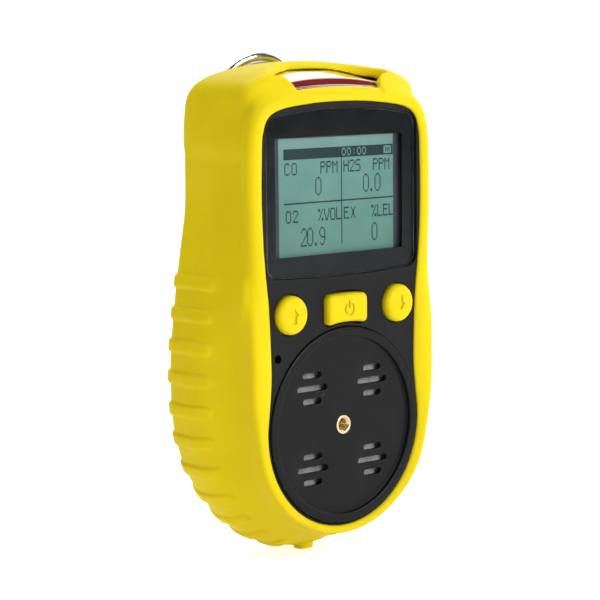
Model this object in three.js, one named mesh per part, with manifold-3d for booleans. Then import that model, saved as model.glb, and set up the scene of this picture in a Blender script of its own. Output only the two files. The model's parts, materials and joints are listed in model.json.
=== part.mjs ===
// Portable four-gas detector in a silicone sleeve.
// Millimetres, +Z up, front face towards -Y. Depths here run from the plane of the flat front face, and
// heights from the middle of the sensor cover. The finished group moves forward, so that its origin is
// the point of the sleeve's flat back that lies straight behind that middle.
import * as THREE from "three";
import { mergeVertices } from "three/addons/utils/BufferGeometryUtils.js";
import Module from "manifold-3d";

const wasm = await Module();
wasm.setup();

// ---- driving dimensions -------------------------------------------------------------------------
const OUTLINE_POINTS = 56; // points round each lofted outline
const LARGE_ROUND = 48; // facets of the sensor cover and what lies behind it
const ROUND = 24; // facets of a sensor or a key
const SMALL_ROUND = 12; // facets of a screw, pin or plunger
const CURVE_SEGMENTS = 4; // straight pieces in each curved stretch of a flat shape
const GAP = 0.15; // clearance between fitted pieces

const LIP_FRONT = -1.0; // the sleeve's lip stands this far in front of the housing face
const BACK = 30.0; // flat back of the sleeve
const SLEEVE_WALL = 2.8;
const HOUSING_WALL = 1.8;
const PLATE = 2.3; // thickness of the housing's front plate
const SPLIT = 15.7; // depth where the front housing ends
const REAR_START = 16.3; // depth where the rear housing begins
const REAR_BACK = 27.2; // outside of the rear housing's back wall
const REAR_WALL_INSIDE = 25.4;

const BULB_RADIUS = 37.0; // round bottom of the sleeve
const BULB_CENTRE_Z = 2.5;
const OPENING_RADIUS = 26.5; // round bottom of the sleeve's front opening
const HOOD_TOP_Z = 94.4;

const RIB_COUNT = 10; // ribs on each side of the bottom plug
const RIB_FIRST = 10.85; // distance round the outline from the bottom centre to the first rib
const RIB_PITCH = 8.35;
const RIB_WIDTH = 3.1;
const RIB_HEIGHT = 1.0;
const RIB_FRONT = 13.0;

const COVER_RADIUS = 25.8;
const DISH_RADIUS = 23.4;
const DISH_DEPTH = 0.7;
const RING_FRONT = -0.4;
const SENSOR_PITCH = 21.2; // centre to centre, both ways
const SENSOR_RADIUS = 10.0;
const SENSOR_FRONT = 3.8;
const SENSOR_LENGTH = 16.5;
const SLOT_HEIGHT = 1.5;
const SLOT_PITCH = 3.4;
const LONG_SLOT = 10.3;
const SHORT_SLOT = 6.2;

const WINDOW_HALF_WIDTH = 26.3;
const WINDOW_BOTTOM = 39.4;
const WINDOW_TOP = 82.5;
const WINDOW_SHOULDER = 80.6; // height of the window's corners
const WINDOW_THICKNESS = 1.2;
const VIEW_HALF_WIDTH = 23.0; // opening behind the window
const VIEW_BOTTOM = 44.3;
const VIEW_TOP = 76.2;

const BUTTON_Z = 30.5;
const BUTTON_X = 18.8;
const BUTTON_RADIUS = 5.0;
const BUTTON_PROUD = 2.0;
const POWER_HALF_WIDTH = 7.0;
const POWER_HALF_HEIGHT = 4.1;
const STEM_RADIUS = 2.0;
const STEM_END = 5.0;
const PLUNGER_RADIUS = 1.5;

const BOARD_FRONT = 9.0;
const BOARD_THICKNESS = 1.6;
const SENSOR_BOARD_FRONT = 21.0;

const LENS_HALF_WIDTH = 21.0;
const LENS_FRONT = 3.2;
const LENS_BACK = 15.5;
const LENS_BOTTOM = 86.0;
const LENS_SIDE_Z = 87.9; // height of the lens at its two ends
const LENS_TOP_Z = 91.4;

const PORT_Y = 18.5; // middle of the charging socket, in depth

const CLIP_PIN = [31.5, 72.0]; // y and z of the clip's pin
const CLIP_SCREW_Z = 52.0;
const CLIP_SHEET = 1.0; // thickness of the clip's steel

const MOTOR = [24.6, 0]; // x and z of the vibration motor's axis
const SCREWS = [[-23.6, 77.5], [23.6, 77.5], [-23.6, -14.5], [23.6, -14.5]];

// ---- materials ----------------------------------------------------------------------------------
const finish = (color, roughness, metalness = 0) =>
  new THREE.MeshStandardMaterial({ color, roughness, metalness });
const YELLOW = finish(0xecd21e, 0.55);
const BLACK = finish(0x222325, 0.5);
const GLOSS_BLACK = finish(0x0c0d0e, 0.08);
const LCD = finish(0x86a89f, 0.3);
const WHITE = finish(0xe6e6e0, 0.5);
const GREEN = finish(0x1d5a38, 0.5);
const STEEL = finish(0xc8cacc, 0.15, 1);
const BRASS = finish(0xcaa24c, 0.3, 1);
const RED = finish(0x8c1510, 0.12);
const GREY = finish(0x8b8d8c, 0.8);
const DARK_RUBBER = finish(0x1b1b1c, 0.85);
const SENSOR_WHITE = finish(0xd9dcd6, 0.6);
const BLUE = finish(0x2b4f86, 0.5);

// ---- solids -------------------------------------------------------------------------------------
function solid(geometry) {
  const bare = geometry.clone();
  bare.deleteAttribute("normal");
  bare.deleteAttribute("uv");
  const merged = mergeVertices(bare, 1e-5);
  return new wasm.Manifold(new wasm.Mesh({
    numProp: 3,
    vertProperties: new Float32Array(merged.attributes.position.array),
    triVerts: new Uint32Array(merged.index.array),
  }));
}

function geometryOf(manifold) {
  const { vertProperties, triVerts } = manifold.getMesh();
  const geometry = new THREE.BufferGeometry();
  geometry.setAttribute("position", new THREE.BufferAttribute(vertProperties, 3));
  geometry.setIndex(new THREE.BufferAttribute(triVerts, 1));
  geometry.computeVertexNormals();
  return geometry;
}

const joined = (...parts) => parts.reduce((whole, part) => whole.add(part));
const cut = (whole, ...tools) => tools.reduce((rest, tool) => rest.subtract(tool), whole);

const model = new THREE.Group();

function place(name, part, material) {
  const geometry = part.isBufferGeometry ? part : geometryOf(part);
  const mesh = new THREE.Mesh(geometry, material);
  mesh.name = name;
  model.add(mesh);
}

// A flat shape drawn in x and z, filled from depth y0 to depth y1.
function plate(shape, y0, y1) {
  const geometry = new THREE.ExtrudeGeometry(shape, {
    depth: y1 - y0, bevelEnabled: false, curveSegments: CURVE_SEGMENTS,
  });
  return solid(geometry.rotateX(Math.PI / 2).translate(0, y1, 0));
}

// A cylinder along the depth.
function rod(radius, y0, y1, x = 0, z = 0, facets = SMALL_ROUND) {
  const geometry = new THREE.CylinderGeometry(radius, radius, y1 - y0, facets);
  return solid(geometry.translate(x, (y0 + y1) / 2, z));
}

// A cylinder across the width.
function crossRod(radius, x0, x1, y, z, facets = SMALL_ROUND) {
  const geometry = new THREE.CylinderGeometry(radius, radius, x1 - x0, facets);
  return solid(geometry.rotateZ(Math.PI / 2).translate((x0 + x1) / 2, y, z));
}

function block(x0, x1, y0, y1, z0, z1) {
  const geometry = new THREE.BoxGeometry(x1 - x0, y1 - y0, z1 - z0);
  return solid(geometry.translate((x0 + x1) / 2, (y0 + y1) / 2, (z0 + z1) / 2));
}

function roundedRectangle(halfWidth, z0, z1, radius) {
  const shape = new THREE.Shape();
  shape.absarc(halfWidth - radius, z0 + radius, radius, -Math.PI / 2, 0);
  shape.absarc(halfWidth - radius, z1 - radius, radius, 0, Math.PI / 2);
  shape.absarc(radius - halfWidth, z1 - radius, radius, Math.PI / 2, Math.PI);
  shape.absarc(radius - halfWidth, z0 + radius, radius, Math.PI, 1.5 * Math.PI);
  shape.closePath();
  return shape;
}

// ---- outlines in x and z, anticlockwise from the bottom centre ----------------------------------
// A round bottom, then a smooth side through the given points up to the top centre, mirrored.
function outline(radius, centreZ, arcEnd, sidePoints) {
  const half = [];
  for (let angle = -90; angle < arcEnd; angle += 5) {
    const turn = THREE.MathUtils.degToRad(angle);
    half.push(new THREE.Vector3(radius * Math.cos(turn), centreZ + radius * Math.sin(turn), 0));
  }
  for (const [x, z] of sidePoints) half.push(new THREE.Vector3(x, z, 0));
  const left = half.slice(1, -1).reverse().map((point) => new THREE.Vector3(-point.x, point.y, 0));
  const curve = new THREE.CatmullRomCurve3([...half, ...left], true, "centripetal");
  curve.arcLengthDivisions = 1000;
  return curve.getSpacedPoints(OUTLINE_POINTS).slice(0, -1)
    .map((point) => new THREE.Vector2(point.x, point.y));
}

// Each point moved outwards, across the outline, by a small distance.
function offset(points, distance) {
  return points.map((point, i) => {
    const before = points.at(i - 1);
    const after = points[(i + 1) % points.length];
    const along = after.clone().sub(before).normalize();
    return new THREE.Vector2(point.x + along.y * distance, point.y - along.x * distance);
  });
}

// Each point moved inwards, towards an upright spine on the middle plane, so that corners stay open.
function shrink(points, distance, spine = [BULB_CENTRE_Z, 62]) {
  return points.map((point) => {
    const centre = new THREE.Vector2(0, THREE.MathUtils.clamp(point.y, ...spine));
    return point.clone().add(centre.sub(point).setLength(distance));
  });
}
const shrinkHood = (points, distance) => shrink(points, distance, [76, 78]);

const blend = (a, b, share) => a.map((point, i) => point.clone().lerp(b[i], share));

// A solid skin through outlines with the same number of points, from the front to the back.
function loft(rings) {
  const count = rings[0].points.length;
  const positions = rings.flatMap(({ points, y }) => points.flatMap((p) => [p.x, y, p.y]));
  const index = [];
  for (let ring = 0; ring < rings.length - 1; ring += 1) {
    for (let i = 0; i < count; i += 1) {
      const a = ring * count + i;
      const b = ring * count + ((i + 1) % count);
      index.push(a, a + count, b, b, a + count, b + count);
    }
  }
  const last = (rings.length - 1) * count;
  for (const [a, b, c] of THREE.ShapeUtils.triangulateShape(rings[0].points, [])) index.push(a, b, c);
  for (const [a, b, c] of THREE.ShapeUtils.triangulateShape(rings.at(-1).points, [])) {
    index.push(last + a, last + c, last + b);
  }
  const geometry = new THREE.BufferGeometry();
  geometry.setAttribute("position", new THREE.Float32BufferAttribute(positions, 3));
  geometry.setIndex(index);
  return solid(geometry);
}

const opening = outline(OPENING_RADIUS, 0, 12, [
  [25.2, 14], [25.3, 22], [25.9, 33.6], [26.9, 42.2], [27.7, 54], [27.7, 69],
  [27.2, 76.5], [25.6, 80.3], [22.3, 82.2], [12, 83.7], [0, 84.2],
]);
const body = outline(BULB_RADIUS, BULB_CENTRE_Z, 8, [
  [37.5, 12], [37.0, 21], [35.0, 33], [32.4, 47], [30.9, 57], [30.7, 70],
  [30.5, 80], [28.9, 85.6], [24, 87.8], [12, 89.2], [0, 89.6],
]);
const hood = outline(6, 70, -60, [
  [24, 67], [30.3, 72], [30.5, 82], [29.6, 86.6], [26.3, 89.8], [21.5, 91.3],
  [9.5, 93.5], [0, HOOD_TOP_Z],
]);
const rim = blend(offset(opening, 4.2), body, 0.2);

// ---- sleeve -------------------------------------------------------------------------------------
// Distance round the outline from the bottom centre to each point, and the place at a distance.
function placeRound(points, distance) {
  let travelled = 0;
  for (let i = 0; i < points.length; i += 1) {
    const next = points[(i + 1) % points.length];
    const step = points[i].distanceTo(next);
    if (travelled + step >= distance) {
      const point = points[i].clone().lerp(next, (distance - travelled) / step);
      const along = next.clone().sub(points[i]).normalize();
      return { point, angle: Math.atan2(along.y, along.x) };
    }
    travelled += step;
  }
  throw new Error("distance is longer than the outline");
}

function ribBar(distance, side) {
  const { point, angle } = placeRound(body, distance);
  const bar = new THREE.BoxGeometry(RIB_WIDTH, BACK - RIB_FRONT + 1, 16);
  bar.rotateY(-side * angle);
  return solid(bar.translate(side * point.x, (RIB_FRONT + BACK + 1) / 2, point.y));
}

function sleeveSkin(extra) {
  const rings = [
    [LIP_FRONT, offset(opening, 3.4)],
    [0.6, offset(rim, -0.6)],
    [2.2, rim],
    [4.4, offset(rim, -0.4)],
    [7.5, blend(opening, body, 0.55)],
    [12.0, shrink(body, 0.9)],
    [18.5, body],
    [23.0, shrink(body, 0.3)],
    [27.0, shrink(body, 2.0)],
    [BACK, shrink(body, 6.5)],
  ];
  return loft(rings.map(([y, points]) => ({ y, points: offset(points, extra) })));
}

function hoodSkin() {
  return loft([
    { y: 2.6, points: shrinkHood(hood, 5.0) },
    { y: 4.6, points: shrinkHood(hood, 2.0) },
    { y: 8.0, points: shrinkHood(hood, 0.5) },
    { y: 12.0, points: hood },
    { y: 23.0, points: shrinkHood(hood, 0.2) },
    { y: 27.0, points: shrinkHood(hood, 1.8) },
    { y: BACK, points: shrinkHood(hood, 6.0) },
  ]);
}

// Outside of the housing, grown by the given distance, with the alarm lens's space included.
function housingSkin(grow) {
  const wall = SLEEVE_WALL - grow;
  const main = loft([
    { y: 0.0 - grow, points: offset(opening, 1.1 + grow) },
    { y: 2.4, points: offset(opening, 1.3 + grow) },
    { y: 6.0, points: blend(offset(opening, 1.5 + grow), shrink(body, wall), 0.35) },
    { y: 12.0, points: shrink(body, wall + 0.6) },
    { y: 18.0, points: shrink(body, wall) },
    { y: 24.0, points: shrink(body, wall + 0.8) },
    { y: REAR_BACK + grow, points: shrink(body, wall + 2.2) },
  ]);
  const top = loft([
    { y: LENS_FRONT - grow, points: shrinkHood(hood, wall + 3.2) },
    { y: 8.0, points: shrinkHood(hood, wall) },
    { y: 24.0, points: shrinkHood(hood, wall + 0.6) },
    { y: REAR_BACK + grow, points: shrinkHood(hood, wall + 2.6) },
  ]);
  return main.add(top);
}

function crescent() {
  const shape = new THREE.Shape();
  shape.moveTo(-20.5, 2.6);
  shape.lineTo(20.5, 2.6);
  shape.quadraticCurveTo(12, 12.8, 0, 12.8);
  shape.quadraticCurveTo(-12, 12.8, -20.5, 2.6);
  const geometry = new THREE.ExtrudeGeometry(shape, { depth: 12, bevelEnabled: false, curveSegments: 8 });
  return solid(geometry.translate(0, 0, 87.4));
}

function protectiveSleeve() {
  const bars = [];
  for (let i = 0; i < RIB_COUNT; i += 1) {
    bars.push(ribBar(RIB_FIRST + i * RIB_PITCH, 1), ribBar(RIB_FIRST + i * RIB_PITCH, -1));
  }
  const ribs = joined(...bars).intersect(sleeveSkin(RIB_HEIGHT));
  const outside = joined(sleeveSkin(0), hoodSkin(), ribs);
  const frontOpening = loft([{ y: -3, points: offset(opening, 0.4) }, { y: 0.6, points: opening }]);
  const backOpening = plate(roundedRectangle(20, 12, 82, 9), 24, BACK + 3);
  const flapRecess = block(-4.7, 4.7, 12.6, 24.4, -38, -33.4);
  const plugHole = block(-3.9, 3.9, 14.8, 21.6, -38, -28);
  const lensSpace = plate(lensShape(0.3), LENS_FRONT - 0.3, LENS_BACK);
  return cut(outside, housingSkin(GAP), lensSpace, frontOpening, backOpening, crescent(), flapRecess,
    plugHole);
}

// ---- housing ------------------------------------------------------------------------------------
function windowShape(inset) {
  const half = WINDOW_HALF_WIDTH - inset;
  const low = WINDOW_BOTTOM + inset;
  const corner = 3.2;
  const shoulder = WINDOW_SHOULDER - inset;
  const shape = new THREE.Shape();
  shape.absarc(half - corner, low + corner, corner, -Math.PI / 2, 0);
  shape.absarc(half - corner, shoulder - corner, corner, 0, Math.PI / 2);
  shape.quadraticCurveTo(0, 2 * (WINDOW_TOP - inset) - shoulder, corner - half, shoulder);
  shape.absarc(corner - half, shoulder - corner, corner, Math.PI / 2, Math.PI);
  shape.absarc(corner - half, low + corner, corner, Math.PI, 1.5 * Math.PI);
  shape.closePath();
  return shape;
}

// Outline of the power key: its lower edge follows the ring round the sensor cover.
function powerShape(grow) {
  const half = POWER_HALF_WIDTH + grow;
  const low = BUTTON_Z - POWER_HALF_HEIGHT - grow;
  const high = BUTTON_Z + POWER_HALF_HEIGHT + grow;
  const corner = 1.8 + grow;
  const shape = new THREE.Shape();
  shape.absarc(half - corner, low + corner, corner, -Math.PI / 2, 0);
  shape.absarc(half - corner, high - corner, corner, 0, Math.PI / 2);
  shape.quadraticCurveTo(0, high + 0.9, corner - half, high);
  shape.absarc(corner - half, high - corner, corner, Math.PI / 2, Math.PI);
  shape.absarc(corner - half, low + corner, corner, Math.PI, 1.5 * Math.PI);
  shape.quadraticCurveTo(0, low + 1.5, half - corner, low);
  return shape;
}

// Front view of the alarm lens: a low arch that follows the hood.
function lensShape(grow) {
  const half = LENS_HALF_WIDTH + grow;
  const low = LENS_BOTTOM - grow;
  const shape = new THREE.Shape();
  shape.moveTo(-half, low);
  shape.lineTo(half, low);
  shape.lineTo(half, LENS_SIDE_Z + grow);
  shape.quadraticCurveTo(13, LENS_TOP_Z + grow - 0.2, 0, LENS_TOP_Z + grow);
  shape.quadraticCurveTo(-13, LENS_TOP_Z + grow - 0.2, -half, LENS_SIDE_Z + grow);
  return shape;
}

function housingCavity() {
  const inside = HOUSING_WALL + SLEEVE_WALL;
  return loft([
    { y: PLATE, points: shrink(opening, 0.6) },
    { y: 6.0, points: blend(opening, shrink(body, inside), 0.35) },
    { y: 12.0, points: shrink(body, inside + 0.6) },
    { y: 18.0, points: shrink(body, inside) },
    { y: 24.0, points: shrink(body, inside + 0.8) },
    { y: REAR_WALL_INSIDE, points: shrink(body, inside + 2.4) },
  ]);
}

function bosses(radius, y0, y1) {
  return SCREWS.map(([x, z]) => rod(radius, y0, y1, x, z));
}

function frontHousing() {
  const shell = cut(housingSkin(0), housingCavity(), block(-50, 50, SPLIT, 50, -60, 120));
  const pillars = joined(...bosses(2.4, 7.8, SPLIT)).intersect(housingSkin(-0.3));
  const lensHalf = LENS_HALF_WIDTH + GAP;
  const lensSeat = block(-lensHalf, lensHalf, -3, SPLIT + 1, LENS_BOTTOM - GAP, 100);
  return cut(
    joined(shell, pillars),
    lensSeat,
    plate(windowShape(-GAP), -2, WINDOW_THICKNESS + 0.1),
    plate(roundedRectangle(VIEW_HALF_WIDTH, VIEW_BOTTOM, VIEW_TOP, 0.5), -2, PLATE + 1),
    rod(BUTTON_RADIUS + 0.3, -2, PLATE + 1, -BUTTON_X, BUTTON_Z, ROUND),
    rod(BUTTON_RADIUS + 0.3, -2, PLATE + 1, BUTTON_X, BUTTON_Z, ROUND),
    plate(powerShape(0.25), -2, PLATE + 1),
    rod(COVER_RADIUS + GAP, -2, 1.7, 0, 0, LARGE_ROUND),
    rod(COVER_RADIUS - 1.3, -2, PLATE + 1, 0, 0, LARGE_ROUND),
    rod(1.1, -2, PLATE + 1, -23.0, 19.6),
    block(-16, -8, 4, 14, 80, 88),
    block(8, 16, 4, 14, 80, 88),
    block(-4.2, 4.2, 15.0, 22.0, -36, -29),
    ...bosses(1.15, 11, SPLIT + 1),
  );
}

function rearHousing() {
  const shell = cut(housingSkin(0), housingCavity(), block(-50, 50, -20, REAR_START, -60, 120));
  const pillars = joined(...bosses(2.6, REAR_START, REAR_BACK - 0.5)).intersect(housingSkin(-0.3));
  const clipPillar = rod(3.6, 22.6, REAR_WALL_INSIDE + 0.5, 0, CLIP_SCREW_Z);
  return cut(
    joined(shell, pillars, clipPillar),
    block(-4.2, 4.2, 15.0, 22.0, -36, -29),
    rod(1.4, 23.6, REAR_BACK + 1, 0, CLIP_SCREW_Z),
    ...bosses(1.4, 10, 30),
    ...bosses(2.25, REAR_BACK - 2.6, 32),
  );
}

function housingGasket() {
  const ring = (distance, y0, y1) => {
    const points = shrink(body, SLEEVE_WALL + distance);
    return loft([{ y: y0, points }, { y: y1, points }]);
  };
  const outer = ring(0.7, SPLIT + 0.1, REAR_START - 0.1);
  const inner = ring(1.6, SPLIT - 1, REAR_START + 1);
  return cut(outer, inner, block(-4.2, 4.2, 15.0, 22.0, -36, -29));
}

function housingScrew(x, z) {
  const head = REAR_BACK - 2.5;
  return joined(rod(1.1, 12.5, head + 0.1, x, z), rod(2.1, head, head + 1.5, x, z));
}

// ---- front pieces -------------------------------------------------------------------------------
function slotShape(x, z, length) {
  const radius = SLOT_HEIGHT / 2;
  const shape = new THREE.Shape();
  shape.absarc(x + length / 2 - radius, z, radius, -Math.PI / 2, Math.PI / 2);
  shape.absarc(x - length / 2 + radius, z, radius, Math.PI / 2, 1.5 * Math.PI);
  shape.closePath();
  return shape;
}

const sensorPlaces = [[-1, 1], [1, 1], [-1, -1], [1, -1]]
  .map(([x, z]) => [x * SENSOR_PITCH / 2, z * SENSOR_PITCH / 2]);

function sensorCover() {
  const slots = sensorPlaces.flatMap(([x, z]) => [
    plate(slotShape(x, z, LONG_SLOT), -2, 4),
    plate(slotShape(x, z - SLOT_PITCH, SHORT_SLOT), -2, 4),
    plate(slotShape(x, z + SLOT_PITCH, SHORT_SLOT), -2, 4),
  ]);
  return cut(
    joined(rod(COVER_RADIUS, RING_FRONT, 1.6, 0, 0, LARGE_ROUND), rod(COVER_RADIUS - 1.5, 1.5, 2.0, 0, 0, LARGE_ROUND),
      rod(4.0, 1.9, 6.3)),
    rod(DISH_RADIUS, -3, DISH_DEPTH, 0, 0, LARGE_ROUND),
    rod(2.6, -3, 5.6),
    ...slots,
  );
}

function threadedInsert() {
  return cut(rod(2.5, DISH_DEPTH - 0.1, 5.4, 0, 0, 24), rod(1.35, -1, 6.5));
}

function roundButton(x) {
  const profile = [[0, -BUTTON_PROUD], [3.6, -BUTTON_PROUD + 0.25], [4.6, -BUTTON_PROUD + 0.8],
    [BUTTON_RADIUS, -0.7], [BUTTON_RADIUS, 2.2], [0, 2.2]];
  const turned = new THREE.LatheGeometry(profile.map(([r, y]) => new THREE.Vector2(r, y)), ROUND);
  return joined(solid(turned.translate(x, 0, BUTTON_Z)), rod(STEM_RADIUS, 2.1, STEM_END, x, BUTTON_Z));
}

function powerButton() {
  return joined(plate(powerShape(0), -1.4, 2.2), plate(powerShape(-0.6), -BUTTON_PROUD, -1.3),
    rod(STEM_RADIUS, 2.1, STEM_END, 0, BUTTON_Z));
}

function keypadMembrane() {
  const holes = [-BUTTON_X, 0, BUTTON_X].map((x) => rod(STEM_RADIUS + 0.4, 2, 6, x, BUTTON_Z));
  return cut(plate(roundedRectangle(23.6, 26.4, 36.6, 2), 3.3, 4.1), ...holes);
}

function tactileSwitch(x) {
  return cut(block(x - 3, x + 3, 6.4, BOARD_FRONT - 0.1, BUTTON_Z - 3, BUTTON_Z + 3),
    rod(PLUNGER_RADIUS + 0.2, 6, 8.6, x, BUTTON_Z));
}

function switchPlunger(x) {
  return rod(PLUNGER_RADIUS, STEM_END + 0.1, 7.4, x, BUTTON_Z);
}

// ---- inside -------------------------------------------------------------------------------------
function mainBoard() {
  return plate(roundedRectangle(20.6, 24.6, 82.6, 1.5), BOARD_FRONT, BOARD_FRONT + BOARD_THICKNESS);
}

function gasSensor(x, z) {
  const back = SENSOR_FRONT + SENSOR_LENGTH;
  const pins = [90, 210, 330].map((degrees) => {
    const turn = THREE.MathUtils.degToRad(degrees);
    return rod(0.75, back - 0.1, back + 3.2, x + 6 * Math.cos(turn), z + 6 * Math.sin(turn), 8);
  });
  return joined(rod(SENSOR_RADIUS, SENSOR_FRONT, back, x, z, ROUND), ...pins);
}

function sensorBoard() {
  const holes = sensorPlaces.flatMap(([x, z]) => [90, 210, 330].map((degrees) => {
    const turn = THREE.MathUtils.degToRad(degrees);
    return rod(1.0, 20, 24, x + 6 * Math.cos(turn), z + 6 * Math.sin(turn), 8);
  }));
  const back = SENSOR_BOARD_FRONT + BOARD_THICKNESS;
  return cut(
    joined(rod(24.6, SENSOR_BOARD_FRONT, back, 0, 0, LARGE_ROUND),
      block(-10, 10, SENSOR_BOARD_FRONT, back, 20, 31),
      block(-6, 6, SENSOR_BOARD_FRONT, back, -28.4, -20)),
    ...holes,
  );
}

function sensorGasket() {
  const holes = sensorPlaces.map(([x, z]) => rod(7.6, 1, 4, x, z, ROUND));
  return cut(rod(22.6, 2.1, 3.0, 0, 0, LARGE_ROUND), rod(4.4, 1, 4), ...holes);
}

function dustFilter() {
  return cut(rod(22.2, 3.1, 3.6, 0, 0, LARGE_ROUND), rod(4.4, 2, 5));
}

function batteryPack() {
  const shape = roundedRectangle(20.0, 33.5, 81, 3);
  return plate(shape, 12.2, 21.8);
}

function vibrationMotor() {
  return cut(rod(3.5, 10.0, 19.6, ...MOTOR), rod(0.8, 8, 13.5, ...MOTOR));
}

function motorWeight() {
  const [x, z] = MOTOR;
  const half = new THREE.Shape().absarc(x, z, 3.0, Math.PI, 2 * Math.PI);
  half.closePath();
  return joined(plate(half, 6.4, 9.6), rod(0.6, 6.4, 12.6, x, z));
}

function chargingPort() {
  const shell = block(-3.8, 3.8, PORT_Y - 1.5, PORT_Y + 1.5, -29.0, -23.6);
  const mouth = block(-3.4, 3.4, PORT_Y - 1.1, PORT_Y + 1.1, -30, -24.4);
  const foot = block(-2.5, 2.5, PORT_Y + 1.4, SENSOR_BOARD_FRONT - 0.1, -28.0, -25.0);
  return joined(cut(shell, mouth), foot);
}

function chargePortPlug() {
  return joined(block(-4.2, 4.2, 13.2, 23.8, -35.7, -33.8), block(-3.0, 3.0, 16.6, 20.4, -33.9, -31.2));
}

function alarmLens() {
  return plate(lensShape(0), LENS_FRONT, LENS_BACK);
}

function alarmLed(x) {
  return block(x - 1.6, x + 1.6, 7.0, BOARD_FRONT - 0.1, 79.4, 82.2);
}

// ---- belt clip ----------------------------------------------------------------------------------
// A bent sheet, drawn edge on in y and z, filled across the width.
function bentSheet(points, halfWidth) {
  const shape = new THREE.Shape(points.map(([y, z]) => new THREE.Vector2(z, -y)));
  const geometry = new THREE.ExtrudeGeometry(shape, { depth: 2 * halfWidth, bevelEnabled: false });
  const axes = new THREE.Matrix4().makeBasis(
    new THREE.Vector3(0, 0, 1), new THREE.Vector3(0, -1, 0), new THREE.Vector3(1, 0, 0),
  );
  return solid(geometry.applyMatrix4(axes).translate(-halfWidth, 0, 0));
}

function clipEar(x0, x1, y0, y1) {
  const [pinY, pinZ] = CLIP_PIN;
  return joined(block(x0, x1, y0, y1, pinZ - 4, pinZ + 4), crossRod(2.6, x0, x1, pinY, pinZ));
}

function clipBase() {
  const front = REAR_BACK + 0.15;
  const back = front + CLIP_SHEET;
  const ears = [clipEar(-12.2, -11.2, front, CLIP_PIN[0] + 0.5), clipEar(11.2, 12.2, front, CLIP_PIN[0] + 0.5)];
  return cut(
    joined(plate(roundedRectangle(12.2, 36, 78, 2), front, back), ...ears),
    crossRod(1.35, -20, 20, ...CLIP_PIN),
    rod(1.7, 20, 40, 0, CLIP_SCREW_Z),
  );
}

// Front view of the lever: a wide rounded thumb end above the pin, a narrow jaw below it.
function leverOutline() {
  const shape = new THREE.Shape();
  shape.moveTo(-9.8, 30);
  shape.lineTo(9.8, 30);
  shape.lineTo(9.8, 76.5);
  shape.quadraticCurveTo(10.2, 79.6, 11.9, 80.8);
  shape.quadraticCurveTo(13.5, 82, 13.5, 86);
  shape.absellipse(0, 86, 13.5, 10.4, 0, Math.PI);
  shape.quadraticCurveTo(-13.5, 82, -11.9, 80.8);
  shape.quadraticCurveTo(-10.2, 79.6, -9.8, 76.5);
  return shape;
}

function clipLever() {
  const outer = [[32.2, 97], [34.0, 91], [34.9, 86], [35.3, 80], [35.3, 74], [34.6, 56], [34.3, 46],
    [32.4, 41.2], [29.6, 37.4]];
  const inner = outer.map(([y, z]) => [y - CLIP_SHEET, z + 0.15]).reverse();
  const sheet = bentSheet([...outer, ...inner], 18).intersect(plate(leverOutline(), 20, 50));
  const ears = [clipEar(-9.8, -8.8, CLIP_PIN[0] - 1.6, 34.9), clipEar(8.8, 9.8, CLIP_PIN[0] - 1.6, 34.9)];
  return cut(joined(sheet, ...ears), crossRod(1.35, -20, 20, ...CLIP_PIN));
}

function clipPin() {
  return joined(crossRod(1.25, -12.9, 12.9, ...CLIP_PIN), crossRod(2.0, -13.6, -12.4, ...CLIP_PIN),
    crossRod(2.0, 12.4, 13.6, ...CLIP_PIN));
}

// Torsion spring: a leg on the base plate, five turns round the pin, a leg under the lever.
class SpringLine extends THREE.Curve {
  getPoint(t, target = new THREE.Vector3()) {
    const turns = 4.5;
    const coilRadius = 1.95;
    const legShare = 0.12;
    const [pinY, pinZ] = CLIP_PIN;
    const along = THREE.MathUtils.clamp((t - legShare) / (1 - 2 * legShare), 0, 1);
    const turn = Math.PI * 2 * turns * along;
    const x = -4.5 + 9 * along;
    target.set(x, pinY - coilRadius * Math.cos(turn), pinZ - coilRadius * Math.sin(turn));
    if (t < legShare) target.z += 9 * (1 - t / legShare);
    if (t > 1 - legShare) target.z += 9 * (1 - (1 - t) / legShare);
    return target;
  }
}

function clipSpring() {
  const wire = new THREE.Shape().absarc(0, 0, 0.45, 0, 2 * Math.PI);
  const geometry = new THREE.ExtrudeGeometry(wire, {
    steps: 64, extrudePath: new SpringLine(), bevelEnabled: false, curveSegments: 3,
  });
  return solid(geometry);
}

function clipScrew() {
  const head = rod(2.8, REAR_BACK + CLIP_SHEET + 0.25, REAR_BACK + CLIP_SHEET + 1.7, 0, CLIP_SCREW_Z, ROUND);
  return joined(head, rod(1.2, 24.2, REAR_BACK + CLIP_SHEET + 0.4, 0, CLIP_SCREW_Z));
}

// ---- assembly -----------------------------------------------------------------------------------
place("protective_sleeve", protectiveSleeve(), YELLOW);
place("front_housing", frontHousing(), BLACK);
place("rear_housing", rearHousing(), BLACK);
place("housing_gasket", housingGasket(), DARK_RUBBER);
place("display_window", plate(windowShape(0), 0, WINDOW_THICKNESS), GLOSS_BLACK);
place("lcd_panel", block(-24.4, 24.4, PLATE + 0.2, PLATE + 1.8, 42.4, 78.2), LCD);
place("lcd_backlight", block(-24.9, 24.9, PLATE + 2.0, 7.2, 41.4, 79.2), WHITE);
place("keypad_membrane", keypadMembrane(), DARK_RUBBER);
place("left_button", roundButton(-BUTTON_X), YELLOW);
place("power_button", powerButton(), YELLOW);
place("right_button", roundButton(BUTTON_X), YELLOW);
for (const [side, x] of [["left", -BUTTON_X], ["power", 0], ["right", BUTTON_X]]) {
  place(`${side}_switch`, tactileSwitch(x), STEEL);
  place(`${side}_switch_plunger`, switchPlunger(x), DARK_RUBBER);
}
place("main_board", mainBoard(), GREEN);
place("sensor_board", sensorBoard(), GREEN);
place("board_connector", block(-7, 7, BOARD_FRONT + BOARD_THICKNESS + 0.1, SENSOR_BOARD_FRONT - 0.1, 25.4, 29.8), BLACK);
place("battery_pack", batteryPack(), BLUE);
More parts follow.
